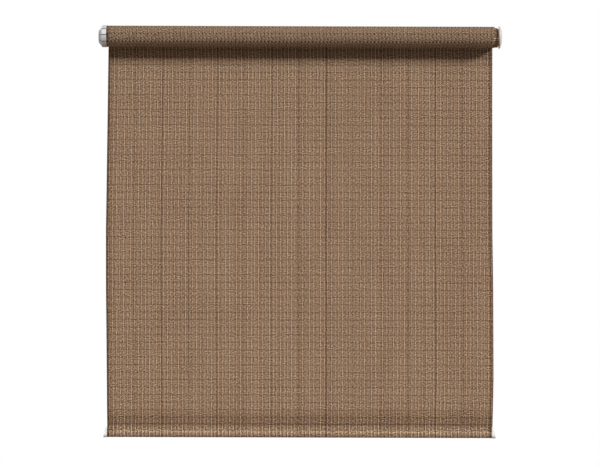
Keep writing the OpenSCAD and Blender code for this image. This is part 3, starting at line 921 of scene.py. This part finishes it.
def stitch_points(centre_x, centre_z):
    """Rings of points along one stitch, which bows out of the cloth and tapers to its two ends."""
    face_y = PANEL_Y + HEM_PULL - CLOTH_T / 2
    angle = FULL_TURN * np.arange(STITCH_SIDES) / STITCH_SIDES
    points = []
    for t in np.linspace(0, 1, STITCH_RINGS):
        bulge = max(0.0, math.sin(math.pi * t))
        r = STITCH_R * (STITCH_TIP_SHARE + (1 - STITCH_TIP_SHARE) * math.sqrt(bulge))
        x = centre_x + (t - 0.5) * STITCH_L
        y = face_y - STITCH_OUT - STITCH_BOW * bulge
        points += [(x, y + r * math.cos(a), centre_z + r * math.sin(a)) for a in angle]
    return points


def make_stitches():
    """A row of thread stitches along the hem's seam."""
    count = int((CLOTH_W - STITCH_MARGIN) / STITCH_PITCH)
    first = CLOTH_X0 + (CLOTH_W - (count - 1) * STITCH_PITCH) / 2
    ring = np.arange(STITCH_SIDES)
    last = (STITCH_RINGS - 1) * STITCH_SIDES
    points, faces = [], []
    for i in range(count):
        start = len(points)
        stray = STITCH_STRAY * math.sin(STITCH_STRAY_RATE * i)
        points += stitch_points(first + i * STITCH_PITCH, SEAM_Z - STITCH_DOWN + stray)
        for k in range(STITCH_RINGS - 1):
            faces += strip_quads(start + k * STITCH_SIDES + ring, STITCH_SIDES).tolist()
        faces += [(start + ring).tolist(), (start + last + ring).tolist()]
    return mesh_object("hem_stitches", points, faces, stitch_thread)


hanging_cloth = make_panel()
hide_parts("shade_panel")
follow_evenly(hanging_cloth)

outer_turn = make_outer_turn()
inner_turns = make_inner_turns()
for piece in (outer_turn, inner_turns):
    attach(piece, "roller")
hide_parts("cloth_roll")

hem_cloth = make_hem()
hem_stitches = make_stitches()
for piece in (hem_cloth, hem_stitches):
    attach(piece, "hem")
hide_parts("hem_pocket")


# Camera, at the photograph's angle

PHOTO_W = 600
PHOTO_H = 465
CAP_FACE_PX = 98.4
AXIS_PX = 36.8
METRES_PER_PX = 2.27 * MM
CAMERA_AWAY = 5.0
CAMERA_ROLL_DEG = 0.18
CAMERA_SEES = 100
SENSOR_MM = 36


def make_camera():
    """The camera faces the cloth squarely and frames it as the photograph does."""
    data = bpy.data.cameras.new("camera")
    data.sensor_fit = "HORIZONTAL"
    data.sensor_width = SENSOR_MM
    data.lens = SENSOR_MM * CAMERA_AWAY / (PHOTO_W * METRES_PER_PX)
    data.clip_end = CAMERA_SEES
    camera = bpy.data.objects.new("camera", data)
    x = (PHOTO_W / 2 - CAP_FACE_PX) * METRES_PER_PX
    z = (AXIS_PX - PHOTO_H / 2) * METRES_PER_PX
    camera.location = (x, -CAMERA_AWAY, z)
    level = Quaternion((1, 0, 0), math.radians(90))
    camera.rotation_mode = "QUATERNION"
    camera.rotation_quaternion = level @ Quaternion((0, 0, 1), math.radians(CAMERA_ROLL_DEG))
    bpy.context.scene.collection.objects.link(camera)
    bpy.context.scene.camera = camera


# Light and stage

FILL_COLOUR = (0.105, 0.09, 0.08)
FLOOR_Z = -1.65
FLOOR_HALF = 4.5
FLOOR_CLOUD_SCALES = (1.2, 1.2)
FLOOR_STOPS = [(0.3, (0.80, 0.80, 0.80)), (0.7, (0.86, 0.86, 0.86))]
FLOOR_BOUNCE = (0.42, 0.37, 0.33)


def make_sun(name, azimuth_deg, elevation_deg, strength, spread_deg):
    """A broad soft light from far off. Azimuth 0 is the viewer's side and 90 is +X."""
    data = bpy.data.lights.new(name, "SUN")
    data.energy = strength
    data.angle = math.radians(spread_deg)
    lamp = bpy.data.objects.new(name, data)
    lamp.rotation_euler = (math.radians(90 - elevation_deg), 0, math.radians(azimuth_deg))
    bpy.context.scene.collection.objects.link(lamp)


def make_world():
    """A white backdrop for what looks straight at it, and an even fill light for everything else."""
    world = bpy.data.worlds.new("studio")
    world.use_nodes = True
    bpy.context.scene.world = world
    tree = world.node_tree
    tree.nodes.clear()
    path = tree.nodes.new("ShaderNodeLightPath")
    seen = path.outputs["Is Camera Ray"]
    for ray in ("Is Glossy Ray", "Is Transmission Ray"):
        either = tree.nodes.new("ShaderNodeMath")
        either.operation = "MAXIMUM"
        tree.links.new(seen, either.inputs[0])
        tree.links.new(path.outputs[ray], either.inputs[1])
        seen = either.outputs[0]
    mix = tree.nodes.new("ShaderNodeMixShader")
    tree.links.new(seen, mix.inputs[0])
    for socket, colour in ((1, FILL_COLOUR), (2, (1, 1, 1))):
        light = tree.nodes.new("ShaderNodeBackground")
        light.inputs["Color"].default_value = (*colour, 1)
        tree.links.new(light.outputs[0], mix.inputs[socket])
    output = tree.nodes.new("ShaderNodeOutputWorld")
    tree.links.new(mix.outputs[0], output.inputs["Surface"])


def make_floor():
    """A pale floor below the lowest hem, out of the photograph's view. It throws little light back."""
    n = Nodes("floor")
    x, y, _ = n.place()
    pale = n.ramp(n.noise((x, y), FLOOR_CLOUD_SCALES), FLOOR_STOPS)
    path = n.add("ShaderNodeLightPath")
    inputs = [(0, path.outputs["Is Camera Ray"]), (6, (*FLOOR_BOUNCE, 1)), (7, pale)]
    colour = n.add("ShaderNodeMix", inputs, data_type="RGBA")
    n.set(Base_Color=colour.outputs[2], Roughness=0.9, Specular_IOR_Level=0.1)
    middle = (CLOTH_X0 + CLOTH_X1) / 2
    sides = ((-1, -1), (1, -1), (1, 1), (-1, 1))
    corners = [(middle + FLOOR_HALF * across, FLOOR_HALF * back, FLOOR_Z) for across, back in sides]
    floor = mesh_object("floor", corners, [(0, 1, 2, 3)], n.material, smooth=False)


make_camera()
make_sun("right", azimuth_deg=65, elevation_deg=20.8, strength=3.15, spread_deg=11)
make_sun("left", azimuth_deg=-25, elevation_deg=39.2, strength=1.78, spread_deg=24)
make_sun("back", azimuth_deg=205, elevation_deg=25, strength=1.4, spread_deg=30)
make_world()
make_floor()
bpy.context.scene.view_settings.view_transform = "Standard"
